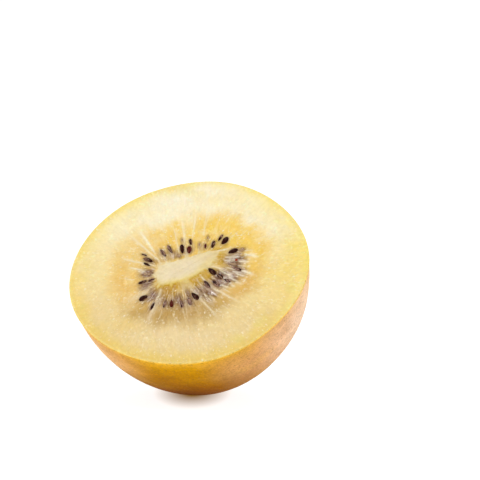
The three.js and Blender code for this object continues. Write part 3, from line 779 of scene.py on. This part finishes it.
def noise_node(nodes, links, where, scale, detail=3.0, rough=0.55):
    node = nodes.new("ShaderNodeTexNoise")
    node.inputs["Scale"].default_value = scale
    node.inputs["Detail"].default_value = detail
    node.inputs["Roughness"].default_value = rough
    links.new(where, node.inputs["Vector"])
    return node


def maths(nodes, links, kind, a, b=None, clamp=False):
    node = nodes.new("ShaderNodeMath")
    node.operation = kind
    node.use_clamp = clamp
    for k, value in enumerate((a, b)):
        if value is None:
            continue
        if isinstance(value, (int, float)):
            node.inputs[k].default_value = value
        else:
            links.new(value, node.inputs[k])
    return node.outputs[0]


def mapped(nodes, links, value, a, b, c, d):
    node = nodes.new("ShaderNodeMapRange")
    links.new(value, node.inputs["Value"])
    for name, number in zip(("From Min", "From Max", "To Min", "To Max"), (a, b, c, d)):
        node.inputs[name].default_value = number
    return node.outputs[0]


def blend_colour(nodes, links, kind, factor, a, b):
    node = nodes.new("ShaderNodeMix")
    node.data_type = "RGBA"
    node.blend_type = kind
    node.clamp_result = True
    if isinstance(factor, (int, float)):
        node.inputs[0].default_value = factor
    else:
        links.new(factor, node.inputs[0])
    for slot, value in ((6, a), (7, b)):
        if isinstance(value, tuple):
            node.inputs[slot].default_value = (*value, 1)
        else:
            links.new(value, node.inputs[slot])
    return node.outputs[2]


def bump_node(nodes, links, height, strength, distance):
    node = nodes.new("ShaderNodeBump")
    node.inputs["Strength"].default_value = strength
    node.inputs["Distance"].default_value = distance
    links.new(height, node.inputs["Height"])
    return node.outputs[0]


def dots(nodes, links, where, scale, size, rare, long=(1.0, 1.0, 1.0)):
    """Small dots in some of the cells of a cell texture, 1 on a dot; long stretches them."""
    cell = nodes.new("ShaderNodeTexVoronoi")
    cell.feature = "F1"
    cell.inputs["Scale"].default_value = scale
    cell.inputs["Randomness"].default_value = 1.0
    stretch = nodes.new("ShaderNodeVectorMath")
    stretch.operation = "DIVIDE"
    stretch.inputs[1].default_value = long
    links.new(where, stretch.inputs[0])
    links.new(stretch.outputs[0], cell.inputs["Vector"])
    chosen = mapped(nodes, links, maths(nodes, links, "FRACT", maths(nodes, links, "MULTIPLY", cell.outputs["Color"], 7.31)), rare, rare + 0.08, 0.0, 1.0)
    spot = mapped(nodes, links, cell.outputs["Distance"], size, size * 1.9, 1.0, 0.0)
    return maths(nodes, links, "MULTIPLY", chosen, spot)


def outward(nodes, links, where):
    """Four directions in the cut face: how much each one points away from the middle
    at a point, and that point's place along and across it."""
    found = []
    middle = CENTRE / 1000.0
    for k in range(4):
        a = math.radians(45.0 * k + 8.0)
        place = []
        for axis in (math.cos(a) * ACROSS + math.sin(a) * UP, math.cos(a) * UP - math.sin(a) * ACROSS):
            dot = nodes.new("ShaderNodeVectorMath")
            dot.operation = "DOT_PRODUCT"
            links.new(where, dot.inputs[0])
            dot.inputs[1].default_value = tuple(float(c) for c in axis)
            place.append(maths(nodes, links, "SUBTRACT", dot.outputs["Value"], float(np.dot(middle, axis))))
        p2 = maths(nodes, links, "MULTIPLY", place[0], place[0])
        q2 = maths(nodes, links, "MULTIPLY", place[1], place[1])
        total = maths(nodes, links, "ADD", maths(nodes, links, "ADD", p2, q2), 1e-8)
        weight = mapped(nodes, links, maths(nodes, links, "DIVIDE", p2, total), 0.55, 0.95, 0.0, 1.0)
        both = nodes.new("ShaderNodeCombineXYZ")
        links.new(place[0], both.inputs[0])
        links.new(place[1], both.inputs[1])
        both.inputs[2].default_value = 0.013 * k
        found.append((weight, both.outputs[0]))
    return found


def outward_dots(nodes, links, directions, scale, size, rare, longer):
    """Short dashes that point away from the middle."""
    result = None
    for weight, place in directions:
        layer = maths(nodes, links, "MULTIPLY", dots(nodes, links, place, scale, size, rare, (longer, 1.0, 1.0)), weight)
        result = layer if result is None else maths(nodes, links, "MAXIMUM", result, layer)
    return result


def outward_noise(nodes, links, directions, scale, longer):
    """A fine grain drawn out away from the middle."""
    top, below = None, None
    for weight, place in directions:
        stretch = nodes.new("ShaderNodeVectorMath")
        stretch.operation = "DIVIDE"
        stretch.inputs[1].default_value = (longer, 1.0, 1.0)
        links.new(place, stretch.inputs[0])
        value = maths(nodes, links, "MULTIPLY", noise_node(nodes, links, stretch.outputs[0], scale, 2.0, 0.6).outputs["Fac"], weight)
        top = value if top is None else maths(nodes, links, "ADD", top, value)
        below = weight if below is None else maths(nodes, links, "ADD", below, weight)
    return maths(nodes, links, "DIVIDE", top, below)


def flesh_material():
    mat, nodes, links, bsdf = material("kiwi_flesh")
    where = coords(nodes)
    directions = outward(nodes, links, where)
    tone = attribute(nodes, "tone").outputs["Color"]
    dull = attribute(nodes, "dull").outputs["Fac"]
    cells = noise_node(nodes, links, where, 1500.0, 2.0, 0.6)
    soft = noise_node(nodes, links, where, 420.0, 3.0, 0.55)
    drawn = outward_noise(nodes, links, directions, 1500.0, 3.2)
    grain = maths(nodes, links, "ADD", mapped(nodes, links, cells.outputs["Fac"], 0.3, 0.7, -0.035, 0.035),
                  mapped(nodes, links, soft.outputs["Fac"], 0.3, 0.7, -0.03, 0.03))
    grain = maths(nodes, links, "ADD", grain, mapped(nodes, links, drawn, 0.3, 0.7, -0.034, 0.034))
    light = maths(nodes, links, "ADD", grain, 1.0)
    combine = nodes.new("ShaderNodeCombineColor")
    for k in range(3):
        links.new(light, combine.inputs[k])
    colour = blend_colour(nodes, links, "MULTIPLY", 1.0, tone, combine.outputs[0])
    # pale specks and short dashes, partly pale fibres and partly painted glints; they are also glossier and stand up
    specks_and_glints = maths(nodes, links, "ADD", outward_dots(nodes, links, directions, 1350.0, 0.16, 0.62, 1.8),
                   maths(nodes, links, "MULTIPLY", dots(nodes, links, where, 1900.0, 0.17, 0.62), 0.7), clamp=True)
    specks_and_glints = maths(nodes, links, "MULTIPLY", specks_and_glints, maths(nodes, links, "SUBTRACT", 1.0, attribute(nodes, "plain").outputs["Fac"]))
    groups = noise_node(nodes, links, where, 260.0, 2.0, 0.6)
    specks_and_glints = maths(nodes, links, "MULTIPLY", specks_and_glints, mapped(nodes, links, groups.outputs["Fac"], 0.36, 0.62, 0.15, 1.0))
    colour = blend_colour(nodes, links, "MIX", maths(nodes, links, "MULTIPLY", specks_and_glints, 0.70), colour, (0.99, 0.88, 0.60))
    links.new(colour, bsdf.inputs["Base Color"])
    rough = maths(nodes, links, "ADD", dull, mapped(nodes, links, soft.outputs["Fac"], 0.3, 0.7, -0.06, 0.06), clamp=True)
    rough = maths(nodes, links, "SUBTRACT", rough, maths(nodes, links, "MULTIPLY", specks_and_glints, 0.18), clamp=True)
    links.new(rough, bsdf.inputs["Roughness"])
    height = maths(nodes, links, "ADD", cells.outputs["Fac"], maths(nodes, links, "MULTIPLY", soft.outputs["Fac"], 1.6))
    height = maths(nodes, links, "ADD", height, maths(nodes, links, "MULTIPLY", specks_and_glints, 0.8))
    links.new(bump_node(nodes, links, height, 0.4, 0.00016), bsdf.inputs["Normal"])
    bsdf.inputs["Subsurface Weight"].default_value = 0.22
    bsdf.inputs["Subsurface Radius"].default_value = (1.0, 0.72, 0.32)
    bsdf.inputs["Subsurface Scale"].default_value = 0.0016
    bsdf.inputs["Specular IOR Level"].default_value = 0.28
    return mat


def skin_material():
    mat, nodes, links, bsdf = material("kiwi_skin")
    where = coords(nodes)
    tone = attribute(nodes, "tone").outputs["Color"]
    fine = noise_node(nodes, links, where, 2000.0, 3.0, 0.7)
    mottle = noise_node(nodes, links, where, 190.0, 4.0, 0.6)
    keep = mapped(nodes, links, mottle.outputs["Fac"], 0.40, 0.60, 0.3, 1.0)
    pore = maths(nodes, links, "MULTIPLY", dots(nodes, links, where, 1300.0, 0.16, 0.45), keep)
    pale = dots(nodes, links, where, 1150.0, 0.14, 0.60)
    grain = maths(nodes, links, "ADD", mapped(nodes, links, fine.outputs["Fac"], 0.3, 0.7, -0.22, 0.22),
                  mapped(nodes, links, mottle.outputs["Fac"], 0.3, 0.7, -0.11, 0.11))
    light = maths(nodes, links, "ADD", grain, 1.0)
    combine = nodes.new("ShaderNodeCombineColor")
    for k in range(3):
        links.new(light, combine.inputs[k])
    colour = blend_colour(nodes, links, "MULTIPLY", 1.0, tone, combine.outputs[0])
    colour = blend_colour(nodes, links, "MIX", maths(nodes, links, "MULTIPLY", pore, 0.50), colour, (0.26, 0.11, 0.02))
    colour = blend_colour(nodes, links, "MIX", maths(nodes, links, "MULTIPLY", pale, 0.08), colour, (0.86, 0.60, 0.32))
    row = maths(nodes, links, "MULTIPLY", dots(nodes, links, where, 1200.0, 0.26, 0.40), attribute(nodes, "plain").outputs["Fac"])
    row = maths(nodes, links, "MULTIPLY", row, keep)
    colour = blend_colour(nodes, links, "MIX", maths(nodes, links, "MULTIPLY", row, 0.62), colour, (0.20, 0.075, 0.008))
    links.new(colour, bsdf.inputs["Base Color"])
    links.new(mapped(nodes, links, fine.outputs["Fac"], 0.3, 0.7, 0.54, 0.70), bsdf.inputs["Roughness"])
    height = maths(nodes, links, "ADD", fine.outputs["Fac"], maths(nodes, links, "MULTIPLY", pore, 0.9))
    links.new(bump_node(nodes, links, height, 0.5, 0.00012), bsdf.inputs["Normal"])
    bsdf.inputs["Subsurface Weight"].default_value = 0.05
    bsdf.inputs["Subsurface Radius"].default_value = (1.0, 0.6, 0.2)
    bsdf.inputs["Subsurface Scale"].default_value = 0.0015
    bsdf.inputs["Sheen Weight"].default_value = 0.05
    bsdf.inputs["Sheen Roughness"].default_value = 0.38
    bsdf.inputs["Sheen Tint"].default_value = (1.0, 0.80, 0.60, 1)
    bsdf.inputs["Specular IOR Level"].default_value = 0.01
    return mat


def seed_material(name, rough, coat):
    mat, nodes, links, bsdf = material(name)
    where = coords(nodes)
    tone = attribute(nodes, "tone").outputs["Color"]
    pits = nodes.new("ShaderNodeTexVoronoi")
    pits.feature = "F1"
    pits.inputs["Scale"].default_value = 6500.0
    links.new(where, pits.inputs["Vector"])
    fine = noise_node(nodes, links, where, 2600.0, 2.0, 0.6)
    light = mapped(nodes, links, fine.outputs["Fac"], 0.3, 0.7, 0.78, 1.22)
    combine = nodes.new("ShaderNodeCombineColor")
    for k in range(3):
        links.new(light, combine.inputs[k])
    links.new(blend_colour(nodes, links, "MULTIPLY", 1.0, tone, combine.outputs[0]), bsdf.inputs["Base Color"])
    links.new(mapped(nodes, links, fine.outputs["Fac"], 0.3, 0.7, rough - 0.06, rough + 0.10), bsdf.inputs["Roughness"])
    links.new(bump_node(nodes, links, pits.outputs["Distance"], 0.35, 0.00004), bsdf.inputs["Normal"])
    bsdf.inputs["Specular IOR Level"].default_value = 0.06
    bsdf.inputs["Specular Tint"].default_value = (1.0, 0.78, 0.68, 1)
    bsdf.inputs["Coat Weight"].default_value = coat
    bsdf.inputs["Coat Roughness"].default_value = 0.07
    return mat


kiwi = build_fruit()
kiwi.data.materials.append(flesh_material())
kiwi.data.materials.append(skin_material())
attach(kiwi, "root")
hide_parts("fruit_half")

bare = seed_material("seed_bare", 0.24, 0.12)
filmed = seed_material("seed_filmed", 0.18, 0.32)
for k in range(len(SEEDS)):
    piece = build_seed(k)
    piece.data.materials.append(bare if LOOK[k] in "bhro" else filmed)
    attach(piece, "root")
    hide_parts("seed_%02d" % (k + 1))

# ------------------------------------------------------------------- floor, light and camera
def build_floor():
    """A pale flat sheet that fills the view, lit from within like a light table; the glow fades and warms towards the
    spot where the fruit rests, a painted shadow.
    """
    n = 24
    step = np.sinh(np.linspace(-3.2, 3.2, n + 1)) / math.sinh(3.2) * 6.0
    verts = np.array([(x, y, -0.00002) for y in step for x in step])
    n += 1
    faces = [(r * n + c, r * n + c + 1, (r + 1) * n + c + 1, (r + 1) * n + c) for r in range(n - 1) for c in range(n - 1)]
    obj = new_mesh("floor", verts, faces)
    mat, nodes, links, bsdf = material("floor_white")
    bsdf.inputs["Base Color"].default_value = (0.25, 0.25, 0.25, 1)
    bsdf.inputs["Roughness"].default_value = 0.6
    bsdf.inputs["Specular IOR Level"].default_value = 0.2
    length = nodes.new("ShaderNodeVectorMath")
    length.operation = "DISTANCE"
    narrow = nodes.new("ShaderNodeVectorMath")
    narrow.operation = "MULTIPLY"
    narrow.inputs[1].default_value = (2.12, 1.0, 1.0)
    links.new(coords(nodes), narrow.inputs[0])
    links.new(narrow.outputs[0], length.inputs[0])
    length.inputs[1].default_value = (-0.0022, 0.0, 0.0)
    # painted shadow: the glow is dimmest where the fruit rests and rises outwards in an oval, red first, then green,
    # then blue, so the shadow is warm
    glow = nodes.new("ShaderNodeCombineColor")
    for k, (near, far) in enumerate(((-0.0003, 0.0187), (0.0023, 0.0192), (0.0041, 0.0195))):
        links.new(mapped(nodes, links, length.outputs["Value"], near, far, 0.0, 0.90), glow.inputs[k])
    links.new(glow.outputs[0], bsdf.inputs["Emission Color"])
    bsdf.inputs["Emission Strength"].default_value = 1.0
    obj.data.materials.append(mat)


def area_light(name, place, aim, size, power, colour=(1, 1, 1)):
    data = bpy.data.lights.new(name, "AREA")
    data.shape = "RECTANGLE"
    data.size, data.size_y = size
    data.energy = power
    data.color = colour
    obj = bpy.data.objects.new(name, data)
    bpy.context.scene.collection.objects.link(obj)
    from mathutils import Vector
    obj.location = place
    obj.rotation_euler = (Vector(aim) - Vector(place)).to_track_quat("-Z", "Y").to_euler()
    return obj


build_floor()
area_light("light_top", (-0.25, -0.40, 1.10), (0, 0, 0.02), (0.24, 0.24), 4.9)
area_light("light_back", (0.25, 0.85, 0.75), (0, 0, 0.02), (0.9, 0.5), 3.0)
area_light("light_left", (-0.9, -0.15, 0.50), (0, 0, 0.03), (0.6, 0.8), 1.5, (1.0, 0.985, 0.96))
area_light("light_right", (0.95, 0.05, 0.40), (0, 0, 0.03), (0.6, 0.8), 3.0, (1.0, 0.98, 0.965))

world = bpy.data.worlds.new("room")
bpy.context.scene.world = world
world.use_nodes = True
world.node_tree.nodes["Background"].inputs[0].default_value = (1, 1, 1, 1)
world.node_tree.nodes["Background"].inputs[1].default_value = 0.50

camera_data = bpy.data.cameras.new("camera")
camera = bpy.data.objects.new("camera", camera_data)
bpy.context.scene.collection.objects.link(camera)
camera.location = (0.009929, -0.564606, 0.114877)
camera.rotation_euler = (math.radians(82.0), 0, 0)
camera_data.sensor_width = 36.0
camera_data.lens = 186.1
camera_data.clip_start = 0.01
camera_data.clip_end = 20
bpy.context.scene.camera = camera
bpy.context.scene.view_settings.view_transform = "Standard"
bpy.context.scene.view_settings.look = "None"

bpy.context.view_layer.update()
